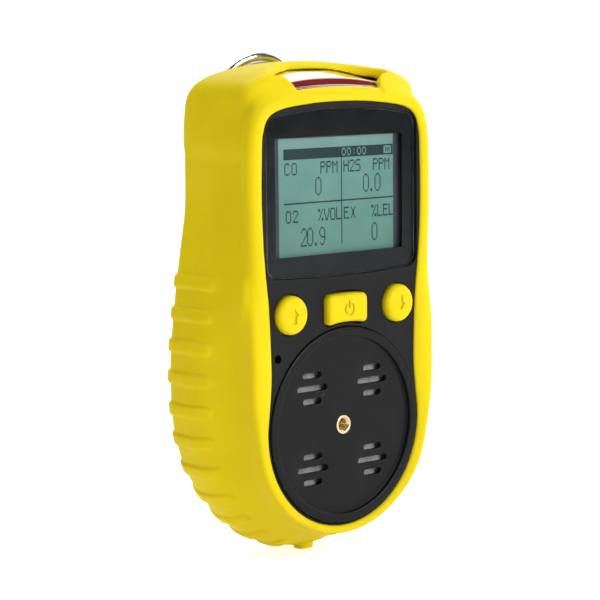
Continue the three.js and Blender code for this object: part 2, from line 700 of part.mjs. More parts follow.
place("buzzer", rod(4.0, PLATE + 0.3, 7.6, -20.6, 21.4, ROUND), BLACK);
place("vibration_motor", vibrationMotor(), STEEL);
place("motor_weight", motorWeight(), STEEL);
place("alarm_lens", alarmLens(), RED);
place("alarm_led_left", alarmLed(-12), RED);
place("alarm_led_right", alarmLed(12), RED);
place("sensor_cover", sensorCover(), BLACK);
place("threaded_insert", threadedInsert(), BRASS);
place("dust_filter", dustFilter(), GREY);
place("sensor_gasket", sensorGasket(), DARK_RUBBER);
["co_sensor", "h2s_sensor", "oxygen_sensor", "combustible_sensor"].forEach((name, i) => {
  place(name, gasSensor(...sensorPlaces[i]), SENSOR_WHITE);
});
place("charging_port", chargingPort(), STEEL);
place("charge_port_plug", chargePortPlug(), YELLOW);
SCREWS.forEach(([x, z], i) => place(`housing_screw_${i + 1}`, housingScrew(x, z), STEEL));
place("clip_base", clipBase(), STEEL);
place("clip_lever", clipLever(), STEEL);
place("clip_pin", clipPin(), STEEL);
place("clip_spring", clipSpring(), STEEL);
place("clip_screw", clipScrew(), STEEL);

model.position.y = -BACK;

export default model;
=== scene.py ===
import json
import math

import bmesh
import bpy
import numpy as np
from mathutils import Matrix, Vector


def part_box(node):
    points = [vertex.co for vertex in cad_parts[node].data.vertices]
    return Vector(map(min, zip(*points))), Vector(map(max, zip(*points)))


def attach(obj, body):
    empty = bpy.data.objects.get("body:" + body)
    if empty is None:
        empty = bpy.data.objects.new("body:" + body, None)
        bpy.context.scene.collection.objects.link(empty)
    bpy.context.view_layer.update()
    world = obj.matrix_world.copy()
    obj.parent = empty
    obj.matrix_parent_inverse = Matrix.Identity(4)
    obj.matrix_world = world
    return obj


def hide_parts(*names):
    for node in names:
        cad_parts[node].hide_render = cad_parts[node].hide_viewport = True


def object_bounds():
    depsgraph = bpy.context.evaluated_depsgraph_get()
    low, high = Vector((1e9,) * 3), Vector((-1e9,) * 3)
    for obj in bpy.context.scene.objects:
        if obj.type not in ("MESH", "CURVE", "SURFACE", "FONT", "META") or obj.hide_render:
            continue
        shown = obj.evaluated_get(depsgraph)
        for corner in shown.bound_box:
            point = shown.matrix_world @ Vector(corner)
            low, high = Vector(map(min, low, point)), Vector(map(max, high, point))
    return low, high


# Portable four-gas detector. All shapes below are in millimetres: x to the right of the display, y the
# depth behind the housing's flat front face, z up from the middle of the sensor cover. The row frame is
# in metres and starts at the sleeve's flat back.
BACK = 30.0
ORIGIN = np.array([0.0, BACK, 0.0])
MM = 0.001

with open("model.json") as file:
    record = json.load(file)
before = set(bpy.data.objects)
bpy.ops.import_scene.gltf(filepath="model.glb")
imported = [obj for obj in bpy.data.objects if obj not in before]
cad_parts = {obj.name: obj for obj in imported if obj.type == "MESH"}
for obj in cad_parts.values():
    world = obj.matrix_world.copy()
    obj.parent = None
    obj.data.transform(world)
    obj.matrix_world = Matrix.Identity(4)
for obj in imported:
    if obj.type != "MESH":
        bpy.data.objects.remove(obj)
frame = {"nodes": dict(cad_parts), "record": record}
CAD_LOW, CAD_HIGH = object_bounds()
DETAIL = 1.0


def box_mm(node):
    """Lowest and highest corner of a CAD node, in millimetres."""
    low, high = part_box(node)
    return np.array(low) / MM + ORIGIN, np.array(high) / MM + ORIGIN


# ---- solid fields: below zero inside, above zero outside ------------------------------------------
def smoothstep(value, low, high):
    share = np.clip((value - low) / (high - low), 0, 1)
    return share * share * (3 - 2 * share)


def join(a, b, fillet=0.0):
    """Both solids, with a round fillet where they meet."""
    if np.isscalar(fillet) and fillet == 0:
        return np.minimum(a, b)
    rounding = np.hypot(np.maximum(fillet - a, 0), np.maximum(fillet - b, 0))
    return np.maximum(fillet, np.minimum(a, b)) - rounding


def meet(a, b, radius=0.0):
    """What two solids share, with a rounded edge."""
    return -join(-a, -b, radius)


def carve(a, b, radius=0.0):
    return meet(a, -b, radius)


def slab(value, low, high):
    return np.maximum(low - value, value - high)


def rectangle(u, v, low_u, high_u, low_v, high_v, radius=0.0):
    across = np.abs(u - (low_u + high_u) / 2) - (high_u - low_u) / 2 + radius
    along = np.abs(v - (low_v + high_v) / 2) - (high_v - low_v) / 2 + radius
    outside = np.hypot(np.maximum(across, 0), np.maximum(along, 0))
    return outside + np.minimum(np.maximum(across, along), 0) - radius


def block(x, y, z, low, high, radius):
    """A box with rounded edges."""
    gaps = [np.abs(c - (a + b) / 2) - (b - a) / 2 + radius for c, a, b in zip((x, y, z), low, high)]
    outside = np.sqrt(sum(np.maximum(gap, 0) ** 2 for gap in gaps))
    return outside + np.minimum(np.maximum(np.maximum(gaps[0], gaps[1]), gaps[2]), 0) - radius


def surface_net(field, low, high, cell):
    """Corners and quads of the closed surface where field is zero, with the corners drawn onto it."""
    counts = [int(math.ceil((b - a) / cell)) + 1 for a, b in zip(low, high)]
    axes = [a + cell * np.arange(n) for a, n in zip(low, counts)]
    grid = field(axes[0][:, None, None], axes[1][None, :, None], axes[2][None, None, :])
    grid = np.ascontiguousarray(np.broadcast_to(grid, counts))
    inside = grid < 0
    corners = np.array([[i, j, k] for i in (0, 1) for j in (0, 1) for k in (0, 1)])
    spans = [slice(0, n - 1) for n in counts]
    total = sum(inside[tuple(slice(c, s.stop + c) for c, s in zip(corner, spans))].astype(np.int8)
                for corner in corners)
    mixed = (total > 0) & (total < 8)
    cells = np.argwhere(mixed)
    number = np.full(mixed.shape, -1)
    number[mixed] = np.arange(len(cells))
    sums = np.zeros((len(cells), 3))
    crossings = np.zeros(len(cells))
    for i, a in enumerate(corners):
        for b in corners[i + 1:]:
            if np.abs(a - b).sum() != 1:
                continue
            value_a = grid[tuple((cells + a).T)]
            value_b = grid[tuple((cells + b).T)]
            crossed = (value_a < 0) != (value_b < 0)
            share = value_a[crossed] / (value_a[crossed] - value_b[crossed])
            sums[crossed] += a + share[:, None] * (b - a)
            crossings[crossed] += 1
    points = np.array(low) + cell * (cells + sums / crossings[:, None])
    quads = []
    for axis in range(3):
        side, other = (axis + 1) % 3, (axis + 2) % 3
        lower = inside.take(range(counts[axis] - 1), axis)
        upper = inside.take(range(1, counts[axis]), axis)
        edges = np.argwhere(lower != upper)
        edges = edges[(edges[:, side] > 0) & (edges[:, other] > 0)]
        edges = edges[(edges[:, side] < counts[side] - 1) & (edges[:, other] < counts[other] - 1)]
        step_side, step_other = np.eye(3, dtype=int)[side], np.eye(3, dtype=int)[other]
        ring = [edges, edges - step_side, edges - step_side - step_other, edges - step_other]
        faces = np.stack([number[tuple(r.T)] for r in ring], 1)
        outward = lower[tuple(edges.T)]
        faces[outward] = faces[outward][:, ::-1]
        quads.append(faces)
    quads = np.concatenate(quads)[:, ::-1]
    return draw_onto(field, points, cell), quads


def draw_onto(field, points, cell):
    """Points moved along the field's slope to where it is zero, by no more than one cell."""
    step = cell * 0.05
    start = points.copy()
    for _ in range(3):
        value = field(*points.T)
        slope = np.stack([
            (field(*(points + step * way).T) - field(*(points - step * way).T)) / (2 * step)
            for way in np.eye(3)
        ], 1)
        size = np.maximum((slope ** 2).sum(1), 0.05)
        move = -(value / size)[:, None] * slope
        points = start + np.clip(points + move - start, -0.7 * cell, 0.7 * cell)
    return points


class Outline:
    """A closed outline in x and z, the same on both sides, with its distance kept in a table."""
    CELL = 0.5
    WIDE, LOW, HIGH = 54.0, -52.0, 112.0

    def __init__(self, half):
        half = np.array(half, float)
        left = half[1:-1][::-1] * [-1, 1]
        self.points = self.smooth(np.concatenate([half, left]))
        steps = np.linalg.norm(np.roll(self.points, -1, 0) - self.points, axis=1)
        self.travel = np.concatenate([[0], np.cumsum(steps)[:-1]])
        self.length = steps.sum()
        self.steps = steps
        self.fill_table()

    @staticmethod
    def smooth(points, parts=10):
        """Centripetal Catmull-Rom curve through the points."""
        before, after, later = (np.roll(points, n, 0) for n in (1, -1, -2))
        gap = lambda a, b: np.linalg.norm(a - b, axis=1)[:, None] ** 0.5
        t0, t1, t2 = gap(before, points), gap(points, after), gap(after, later)
        start = ((points - before) / t0 - (after - before) / (t0 + t1) + (after - points) / t1) * t1
        end = ((after - points) / t1 - (later - points) / (t1 + t2) + (later - after) / t2) * t1
        t = (np.arange(parts) / parts)[None, :, None]
        p, q, m, n = (value[:, None, :] for value in (points, after, start, end))
        curve = (p * (2 * t ** 3 - 3 * t ** 2 + 1) + m * (t ** 3 - 2 * t ** 2 + t)
                 + q * (3 * t ** 2 - 2 * t ** 3) + n * (t ** 3 - t ** 2))
        return curve.reshape(-1, 2)

    def fill_table(self):
        xs = np.arange(0, self.WIDE + self.CELL, self.CELL)
        zs = np.arange(self.LOW, self.HIGH + self.CELL, self.CELL)
        a = self.points
        along = np.roll(a, -1, 0) - a
        squared = (along ** 2).sum(1)
        self.distances = np.zeros((len(xs), len(zs)))
        self.rounds = np.zeros_like(self.distances)
        for i, x in enumerate(xs):
            away_x = x - a[:, 0]
            away_z = zs[:, None] - a[:, 1]
            share = np.clip((away_x * along[:, 0] + away_z * along[:, 1]) / squared, 0, 1)
            gaps = np.hypot(away_x - share * along[:, 0], away_z - share * along[:, 1])
            best = gaps.argmin(1)
            rows = np.arange(len(zs))
            above = (a[:, 1] > zs[:, None]) != (np.roll(a[:, 1], -1) > zs[:, None])
            reach = a[:, 0] + away_z / np.where(along[:, 1] == 0, 1e-9, along[:, 1]) * along[:, 0]
            inside = (above & (x < reach)).sum(1) % 2 == 1
            self.distances[i] = np.where(inside, -1, 1) * gaps[rows, best]
            place = self.travel[best] + share[rows, best] * self.steps[best]
            self.rounds[i] = np.minimum(place, self.length - place)

    def look_up(self, table, x, z):
        u = np.clip(np.abs(x) / self.CELL, 0, table.shape[0] - 1.001)
        v = np.clip((z - self.LOW) / self.CELL, 0, table.shape[1] - 1.001)
        u, v = np.broadcast_arrays(u, v)
        i, j = u.astype(int), v.astype(int)
        s, t = u - i, v - j
        return ((1 - s) * ((1 - t) * table[i, j] + t * table[i, j + 1])
                + s * ((1 - t) * table[i + 1, j] + t * table[i + 1, j + 1]))

    def distance(self, x, z):
        return self.look_up(self.distances, x, z)

    def round_from_bottom(self, x, z):
        """How far round the outline from the bottom centre the nearest point is."""
        return self.look_up(self.rounds, x, z)


def half_outline(radius, centre_z, last_degrees, side_points):
    """A round bottom, then the given points up to the top centre."""
    turns = np.radians(np.arange(-90, last_degrees, 5))
    arc = [(radius * math.cos(t), centre_z + radius * math.sin(t)) for t in turns]
    return arc + list(side_points)


OPENING = Outline(half_outline(26.5, 0, 12, [
    (25.2, 14), (25.3, 22), (25.9, 33.6), (26.9, 42.2), (27.7, 54), (27.7, 69),
    (27.2, 76.5), (25.6, 80.3), (22.3, 82.2), (12, 83.7), (0, 84.2)]))
BODY = Outline(half_outline(36.2, 1.7, -10, [
    (37.1, 1), (37.8, 12), (37.5, 21), (35.7, 33), (32.9, 47), (31.2, 57), (30.9, 70),
    (30.6, 80), (28.9, 85.6), (24, 87.8), (12, 89.2), (0, 89.6)]))
HOOD = Outline(half_outline(6, 70, -60, [
    (24, 67), (30.3, 72), (30.5, 81), (30.3, 86.2), (28.7, 88.9), (25.0, 90.9),
    (20, 92.3), (10.5, 93.8), (0, 94.4)]))


# ---- sizes that several pieces share --------------------------------------------------------------
PARTING = 18.5  # depth where the halves of the sleeve's mould meet
HOUSING_BACK = 27.2
BEAD_OUT, BEAD_DEPTH, BEAD_RADIUS = 1.6, 1.9, 2.55  # rolled edge beside the display
LENS_HALF = 21.0
PIN_Y, PIN_Z = 31.5, 72.0  # hinge pin of the belt clip
SCREW_Z = 52.0
EAR_RADIUS, PIN_HOLE, SHEET = 2.7, 1.35, 1.0


def from_pin(y, z):
    return np.hypot(y - PIN_Y, z - PIN_Z)


def from_screw(x, z):
    return np.hypot(x, z - SCREW_Z)


# ---- meshes -------------------------------------------------------------------------------------
def added(name, data):
    """A new object of the scene."""
    made = bpy.data.objects.new(name, data)
    bpy.context.scene.collection.objects.link(made)
    return made


def show(name, points, faces, body, material, stands_for, sharp=None):
    """A piece from points in millimetres, riding on a body."""
    mesh = bpy.data.meshes.new(name)
    points = (np.asarray(points, float) - ORIGIN) * MM
    faces = np.asarray(faces)
    mesh.vertices.add(len(points))
    mesh.vertices.foreach_set("co", points.astype(np.float32).ravel())
    mesh.loops.add(faces.size)
    mesh.loops.foreach_set("vertex_index", faces.astype(np.int32).ravel())
    mesh.polygons.add(len(faces))
    mesh.polygons.foreach_set("loop_start", np.arange(0, faces.size, faces.shape[1], dtype=np.int32))
    mesh.update(calc_edges=True)
    mesh.validate()
    dress(name, mesh, body, material, stands_for, sharp)


def dress(name, mesh, body, material, stands_for, sharp=None):
    """The mesh as a piece, in place of the CAD node it stands for."""
    piece = added(name, mesh)
    mesh.materials.clear()
    mesh.materials.append(material)
    mesh.shade_smooth()
    if sharp is not None:
        mesh.set_sharp_from_angle(angle=math.radians(sharp))
    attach(piece, body)
    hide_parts(stands_for)
    return piece


def carved(name, field, stands_for, cell, body, material, room=0.0):
    """A piece whose surface is where its field is zero, within a CAD node's box and a little beyond."""
    low, high = box_mm(stands_for)
    cell *= DETAIL
    reach = room + 1.5 * cell
    points, quads = surface_net(field, low - reach, high + reach, cell)
    show(name, points, quads, body, material, stands_for)


def sheet(name, outlines, y0, y1, bevel, material, stands_for):
    """A flat plate of the housing with rounded edges: a rim, then holes."""
    curve = bpy.data.curves.new(name + "_line", "CURVE")
    curve.dimensions = "2D"
    curve.fill_mode = "BOTH"
    curve.bevel_depth = bevel * MM
    curve.bevel_resolution = 3
    curve.offset = -bevel * MM
    curve.extrude = ((y1 - y0) / 2 - bevel) * MM
    for outline in outlines:
        spline = curve.splines.new("POLY")
        spline.points.add(len(outline) - 1)
        for point, (x, z) in zip(spline.points, outline):
            point.co = (x * MM, z * MM, 0, 1)
        spline.use_cyclic_u = True
    mesh = mesh_of(curve, name)
    middle = ((y0 + y1) / 2 - BACK) * MM
    mesh.transform(Matrix.Translation((0, middle, 0)) @ Matrix.Rotation(math.pi / 2, 4, "X"))
    weld(mesh)
    piece = dress(name, mesh, "housing", material, stands_for)
    flat = piece.modifiers.new("flat_faces", "WEIGHTED_NORMAL")
    flat.keep_sharp = True


def mesh_of(curve, name):
    """The curve's surface as a mesh."""
    holder = added(curve.name, curve)
    bpy.context.view_layer.update()
    mesh = bpy.data.meshes.new_from_object(holder.evaluated_get(bpy.context.evaluated_depsgraph_get()))
    bpy.data.objects.remove(holder)
    bpy.data.curves.remove(curve)
    mesh.name = name
    return mesh


def weld(mesh):
    """Joins the points that lie together and turns the faces outwards."""
    work = bmesh.new()
    work.from_mesh(mesh)
    bmesh.ops.remove_doubles(work, verts=work.verts, dist=1e-7)
    bmesh.ops.dissolve_degenerate(work, edges=work.edges, dist=1e-7)
    bmesh.ops.recalc_face_normals(work, faces=work.faces)
    work.to_mesh(mesh)
    work.free()


# ---- outlines of flat shapes ----------------------------------------------------------------------
def arc(cx, cz, radius, start, end, parts=10):
    turns = np.radians(np.linspace(start, end, parts + 1))
    return [(cx + radius * math.cos(t), cz + radius * math.sin(t)) for t in turns]


def bow(a, middle, b, parts=12):
    """Curved line from a to b, pulled towards middle, without its end points."""
    shares = np.linspace(0, 1, parts + 1)[1:-1]
    return [tuple((1 - t) ** 2 * np.array(a) + 2 * t * (1 - t) * np.array(middle) + t * t * np.array(b))
            for t in shares]


def circle(cx, cz, radius, parts=72):
    return arc(cx, cz, radius, 0, 360 - 360 / parts, parts - 1)


def soft_rectangle(x0, x1, z0, z1, radius):
    left, right, bottom, top = x0 + radius, x1 - radius, z0 + radius, z1 - radius
    return (arc(right, bottom, radius, -90, 0) + arc(right, top, radius, 0, 90)
            + arc(left, top, radius, 90, 180) + arc(left, bottom, radius, 180, 270))


def window_outline(inset):
    half, low, corner, shoulder, top = 26.3 - inset, 40.0 + inset, 3.4, 80.6 - inset, 82.5 - inset
    crown = bow((half - corner, shoulder), (0, 2 * top - shoulder), (corner - half, shoulder), 24)
    sag = bow((corner - half, low), (0, low - 1.3), (half - corner, low), 24)
    right, left = half - corner, corner - half
    return (arc(right, low + corner, corner, -90, 0) + arc(right, shoulder - corner, corner, 0, 90)
            + crown + arc(left, shoulder - corner, corner, 90, 180)
            + arc(left, low + corner, corner, 180, 270) + sag)


def grown(points, distance):
    """Points of an anticlockwise outline moved outwards."""
    along = np.roll(points, -1, 0) - np.roll(points, 1, 0)
    along /= np.linalg.norm(along, axis=1)[:, None]
    return points + distance * np.stack([along[:, 1], -along[:, 0]], 1)


# ---- materials ----------------------------------------------------------------------------------
def node(tree, kind, inputs=None, **settings):
    made = tree.nodes.new(kind)
    for key, value in settings.items():
        setattr(made, key, value)
    for key, value in (inputs or {}).items():
        if isinstance(value, bpy.types.NodeSocket):
            tree.links.new(value, made.inputs[key])
        else:
            made.inputs[key].default_value = value
    return made


def mixed(tree, share, a, b, blend="MIX"):
    made = node(tree, "ShaderNodeMix", {0: share, 6: a, 7: b}, data_type="RGBA", blend_type=blend)
    return made.outputs[2]


def ramp(tree, value, low, high, to_low=0.0, to_high=1.0):
    made = node(tree, "ShaderNodeMapRange", {"Value": value, "From Min": low, "From Max": high,
                                             "To Min": to_low, "To Max": to_high})
    return made.outputs["Result"]


def noise(tree, where, size_mm, detail=3.0):
    made = node(tree, "ShaderNodeTexNoise", {"Vector": where, "Scale": 1 / (size_mm * MM), "Detail": detail,
                                             "Roughness": 0.55})
    return made.outputs[0]


def bump(tree, height, depth_mm, below=None):
    """Surface tilted by a height pattern, on top of another such surface."""
    inputs = {"Height": height, "Distance": depth_mm * MM, "Strength": 1.0}
    if below is not None:
        inputs["Normal"] = below
    return node(tree, "ShaderNodeBump", inputs).outputs[0]


def principled(tree, colour, roughness, more):
    inputs = {"Base Color": colour, "Roughness": roughness, **more}
    return node(tree, "ShaderNodeBsdfPrincipled", inputs).outputs[0]


def axis_of(tree, vector, axis):
    return node(tree, "ShaderNodeSeparateXYZ", {"Vector": vector}).outputs[axis]


def maths(tree, operation, *values):
    return node(tree, "ShaderNodeMath", dict(enumerate(values)), operation=operation).outputs[0]


def tint(colour, factor):
    return tuple(min(1.0, c * factor) for c in colour[:3]) + (1.0,)


LOOKS = {}


def begin(name, slot=None):
    """An empty material, in the record's slot of that name unless another is given."""
    material = bpy.data.materials.new(name)
    material.use_nodes = True
    material["slot"] = slot or name
    LOOKS[name] = material
    tree = material.node_tree
    tree.nodes.clear()
    return tree, node(tree, "ShaderNodeTexCoord").outputs["Object"]


def end(tree, shader):
    node(tree, "ShaderNodeOutputMaterial", {"Surface": shader})


def moulded(name, colour, roughness, grain_mm, grain_depth_mm, patch_mm=14.0, change=0.07, wear=0.0,
            extra=None, relief=None, slot=None):
    """Moulded plastic, rubber or painted stock: patchy colour, fine grain, paler edges and any relief."""
    tree, where = begin(name, slot)
    patches = noise(tree, where, patch_mm, 4.0)
    grain = noise(tree, where, grain_mm, 2.0)
    base = mixed(tree, ramp(tree, patches, 0.3, 0.7), tint(colour, 1 - change), tint(colour, 1 + change))
    base = mixed(tree, ramp(tree, grain, 0.35, 0.65, 0.0, 0.25), base, tint(colour, 1 - 1.6 * change))
    if wear:
        edge = node(tree, "ShaderNodeNewGeometry").outputs["Pointiness"]
        rubbed = ramp(tree, edge, 0.53, 0.62, 0.0, wear)
        base = mixed(tree, rubbed, base, tint([c * 0.6 + 0.35 for c in colour[:3]], 1))
    gloss = ramp(tree, noise(tree, where, patch_mm * 0.45, 5.0), 0.3, 0.7, roughness - 0.07, roughness + 0.07)
    surface = bump(tree, grain, grain_depth_mm)
    if relief is not None:
        surface = bump(tree, *relief(tree, where), surface)
    end(tree, principled(tree, base, gloss, {"Normal": surface, **(extra or {})}))


def metal(name, colour, roughness, brush_mm=0.25, stretch=(1, 1, 14), depth_mm=0.004):
    """Metal with fine brush marks and slight stains."""
    tree, where = begin(name)
    longer = node(tree, "ShaderNodeMapping", {"Vector": where, "Scale": [1 / s for s in stretch]}).outputs[0]
    marks = noise(tree, longer, brush_mm, 4.0)
    stains = noise(tree, where, 6.0, 5.0)
    base = mixed(tree, ramp(tree, stains, 0.35, 0.7), tint(colour, 0.92), tint(colour, 1.06))
    gloss = ramp(tree, marks, 0.3, 0.7, roughness * 0.75, roughness * 1.35)
    end(tree, principled(tree, base, gloss, {"Metallic": 1.0, "Normal": bump(tree, marks, depth_mm)}))


def parting_line(tree, where):
    """Raised line round the sleeve where the two halves of its mould meet."""
    away = maths(tree, "SUBTRACT", axis_of(tree, where, "Y"), (PARTING - BACK) * MM)
    return ramp(tree, maths(tree, "ABSOLUTE", away), 0.0, 0.35 * MM, 1.0, 0.0), 0.06


def clear_window():
    """Clear coated pane: see-through with faint smears, and shiny where its edge turns away."""
    tree, where = begin("clear_pane", "window_black")
    smears = noise(tree, where, 9.0, 5.0)
    gloss = node(tree, "ShaderNodeBsdfAnisotropic", {
        "Color": (1, 1, 1, 1), "Roughness": ramp(tree, smears, 0.35, 0.75, 0.08, 0.2),
        "Normal": bump(tree, noise(tree, where, 0.6, 2.0), 0.002)})
    through = node(tree, "ShaderNodeBsdfTransparent", {"Color": mixed(
        tree, ramp(tree, smears, 0.3, 0.7), (0.90, 0.92, 0.92, 1), (0.96, 0.97, 0.97, 1))})
    facing = node(tree, "ShaderNodeNewGeometry").outputs["Normal"]
    edge = ramp(tree, axis_of(tree, facing, "Y"), -0.97, -0.75, 0.0, 0.2)
    end(tree, node(tree, "ShaderNodeMixShader", {
        0: edge, 1: through.outputs[0], 2: gloss.outputs[0]}).outputs[0])


def red_lens():
    """Polished dark red plastic that mirrors its surroundings when seen at a flat angle."""
    tree, where = begin("lens_red")
    patches = noise(tree, where, 8.0, 4.0)
    surface = bump(tree, noise(tree, where, 0.8, 2.0), 0.0006)
    base = mixed(tree, ramp(tree, patches, 0.3, 0.7), (0.17, 0.006, 0.005, 1), (0.24, 0.010, 0.007, 1))
    plastic = principled(tree, base, ramp(tree, patches, 0.3, 0.7, 0.08, 0.16), {"Normal": surface})
    gloss = node(tree, "ShaderNodeBsdfAnisotropic", {"Color": (0.97, 0.95, 0.95, 1), "Roughness": 0.06,
                                                     "Normal": surface}).outputs[0]
    flat = node(tree, "ShaderNodeLayerWeight", {"Blend": 0.5}).outputs["Facing"]
    mirror = ramp(tree, flat, 0.42, 0.60, 0.06, 0.93)
    end(tree, node(tree, "ShaderNodeMixShader", {0: mirror, 1: plastic, 2: gloss}).outputs[0])


def display_field():
    """The display's reading area: grey-green, a little greyer at the top, with a faint dot pitch and a faint
    painted glow for the light falling on it.
    """
    tree, where = begin("display_field", "lcd")
    height = axis_of(tree, where, "Z")
    base = mixed(tree, ramp(tree, height, 47 * MM, 76 * MM), (0.15, 0.31, 0.25, 1), (0.20, 0.39, 0.35, 1))
    base = mixed(tree, ramp(tree, height, 71 * MM, 76 * MM, 0, 0.6), base, (0.30, 0.40, 0.41, 1))
    base = mixed(tree, ramp(tree, noise(tree, where, 12.0), 0.3, 0.7, 0, 0.25), base, (0.19, 0.36, 0.31, 1))
    dots = node(tree, "ShaderNodeTexBrick", {"Vector": node(tree, "ShaderNodeMapping", {
        "Vector": where, "Rotation": (math.pi / 2, 0, 0)}).outputs[0], "Scale": 1 / MM, "Mortar Size": 0.03,
        "Brick Width": 0.3, "Row Height": 0.392, "Color1": (1, 1, 1, 1), "Color2": (1, 1, 1, 1),
        "Mortar": (0.9, 0.9, 0.9, 1)}, offset=0.0)
    base = mixed(tree, 0.5, base, dots.outputs[0], "MULTIPLY")
    # painted glow: the emission in the display's own colour stands in for light falling on it
    end(tree, principled(tree, base, 0.35, {"Emission Color": base, "Emission Strength": 0.26}))


def filter_mesh(tree, where):
    """Close-set pores of the dust filter."""
    made = node(tree, "ShaderNodeTexVoronoi", {"Vector": where, "Scale": 1 / (0.45 * MM)})
    return made.outputs["Distance"], 0.2


SILICONE = {"Subsurface Weight": 0.18, "Subsurface Radius": (1.0, 0.6, 0.1), "Subsurface Scale": 1.2 * MM,
            "Specular IOR Level": 0.09}
MATT = {"Specular IOR Level": 0.17}
YELLOW = (0.825, 0.642, 0.006)

# plastics and rubbers: colour, roughness, size and depth of the grain, size and strength of the patches, wear
moulded("sleeve_silicone", YELLOW, 0.47, 0.22, 0.006, 18, 0.035, 0.12, SILICONE, parting_line)
moulded("key_silicone", YELLOW, 0.42, 0.18, 0.004, 6, 0.04, 0.15, SILICONE)
moulded("housing_black", (0.0078, 0.0083, 0.0095), 0.45, 0.16, 0.009, 15, 0.12, 0.06, MATT)
moulded("cover_black", (0.0062, 0.0066, 0.0078), 0.38, 0.14, 0.007, 12, 0.12, 0.06, MATT,
        slot="housing_black")
moulded("window_black", (0.012, 0.013, 0.014), 0.2, 0.3, 0.001, 20, 0.1)
moulded("lcd_frame", (0.085, 0.085, 0.105), 0.35, 0.2, 0.002, 9, 0.1, slot="lcd")
moulded("lcd_ink", (0.018, 0.048, 0.050), 0.4, 0.3, 0.001, 9, 0.15, slot="lcd")
moulded("backlight_white", (0.78, 0.79, 0.76), 0.4, 0.3, 0.004)
moulded("seal_rubber", (0.03, 0.03, 0.032), 0.8, 0.3, 0.02)
moulded("board_green", (0.015, 0.13, 0.06), 0.4, 0.9, 0.02, 5, 0.15)
moulded("battery_blue", (0.03, 0.10, 0.30), 0.3, 2.5, 0.03, 9, 0.1)
moulded("component_black", (0.03, 0.03, 0.03), 0.5, 0.2, 0.01)
moulded("filter_grey", (0.36, 0.36, 0.37), 0.7, 0.25, 0.05, 3, 0.3, relief=filter_mesh)
moulded("cell_white", (0.68, 0.70, 0.66), 0.5, 0.3, 0.01)

# metals: colour, roughness, width of the brush marks, their stretch along each axis, their depth
metal("steel", (0.58, 0.58, 0.59), 0.28)
metal("polished_steel", (0.66, 0.66, 0.69), 0.13, 0.3, (14, 1, 1), 0.001)
metal("brass", (0.90, 0.72, 0.40), 0.25, 0.12, (1, 8, 1), 0.003)

red_lens()
clear_window()
display_field()


# ---- protective sleeve --------------------------------------------------------------------------
RIBS = 11
RIB_FIRST, RIB_PITCH, RIB_HALF, RIB_PROUD = 10.85, 8.35, 1.6, 0.7
THINNEST = 1.45  # least wall of the sleeve


def housing_room(x, y, z):
    opening, body = OPENING.distance(x, z), BODY.distance(x, z)
    depths = [2.3, 6, 12, 18, 24, 25.4]
    share = np.interp(y, depths, [0, 0.35, 1, 1, 1, 1])
    away = np.interp(y, depths, [-0.6, -1.61, -5.2, -4.6, -5.4, -7.0])
    return meet(opening - away - share * (opening - body), slab(y, 2.3, 25.4), 0.4)


def lens_space(x, y, z, grow=0.0):
    """The alarm lens: a narrow ledge behind the rim, a slanted front and a crown that sinks at both ends."""
    rise = 1 - np.minimum(np.abs(x) / LENS_HALF, 1.4) ** 2.2
    crown = (z - 88.0 - 1.95 * rise - 0.28 * np.clip(y - 4.8, -1, 8.2) * (0.5 + 0.5 * rise)) * 0.96
    front = (4.5 + 0.42 * np.maximum(z - 88.4, 0) - y) * 0.92
    ledge = (z - 87.95 - 0.3 * (y - 3.2) + 0.0029 * x ** 2) * 0.96
    lens = join(meet(crown, front, 0.5), meet(ledge, 3.15 - y, 0.2), 0.15)
    lens = meet(lens, np.abs(x) - LENS_HALF, 0.5) - grow
    return np.maximum(np.maximum(lens, 86.0 - grow - z), y - 15.5 - grow)


def sleeve_main(x, y, z):
    """Body of the sleeve: a flared lip round the bulb turns into a rolled bead beside the display."""
    opening, body = OPENING.distance(x, z), BODY.distance(x, z)
    width = opening - body
    upper = smoothstep(z, 20, 50)
    draft = 0.06 * np.maximum(y - PARTING, 0)
    lip = 2.2 + 1.3 * smoothstep(z, -30, -12) + 3.2 * smoothstep(z, -6, 14)
    flare = lip + (width - lip) * smoothstep(y, 2.0, PARTING) - draft
    bulb = meet(opening - flare, -1.15 - y, 1.7)
    slope = (-np.maximum(opening, -3.0) - 1.75 * y) / 2.02
    bulb = meet(bulb, slope, 0.8)
    wall = meet(opening - width + 2.3 * (1 - smoothstep(y, 6.5, 17.5)) + draft, BEAD_DEPTH - y, 1.0)
    bead = np.hypot(opening - BEAD_OUT, y - BEAD_DEPTH) - BEAD_RADIUS
    side = join(wall, bead, 1.3)
    both = bulb * (1 - upper) + side * upper
    return meet(both, y - BACK, 9.5 - 3.5 * smoothstep(z, -24, -4) - 1.8 * upper)


def sleeve_hood(x, y, z):
    sunk = 0.1 + 1.7 * smoothstep(np.abs(x), 12, 24) * (1 - smoothstep(z, 77, 90))
    hood = HOOD.distance(x, z) + sunk * (1 - smoothstep(y, 5, 14)) + 0.05 * np.maximum(y - 20, 0)
    return meet(meet(hood, 2.2 - y, 4.6), y - BACK, 6.5)


def sleeve_skin(x, y, z):
    return join(sleeve_main(x, y, z), sleeve_hood(x, y, z), 2.2)


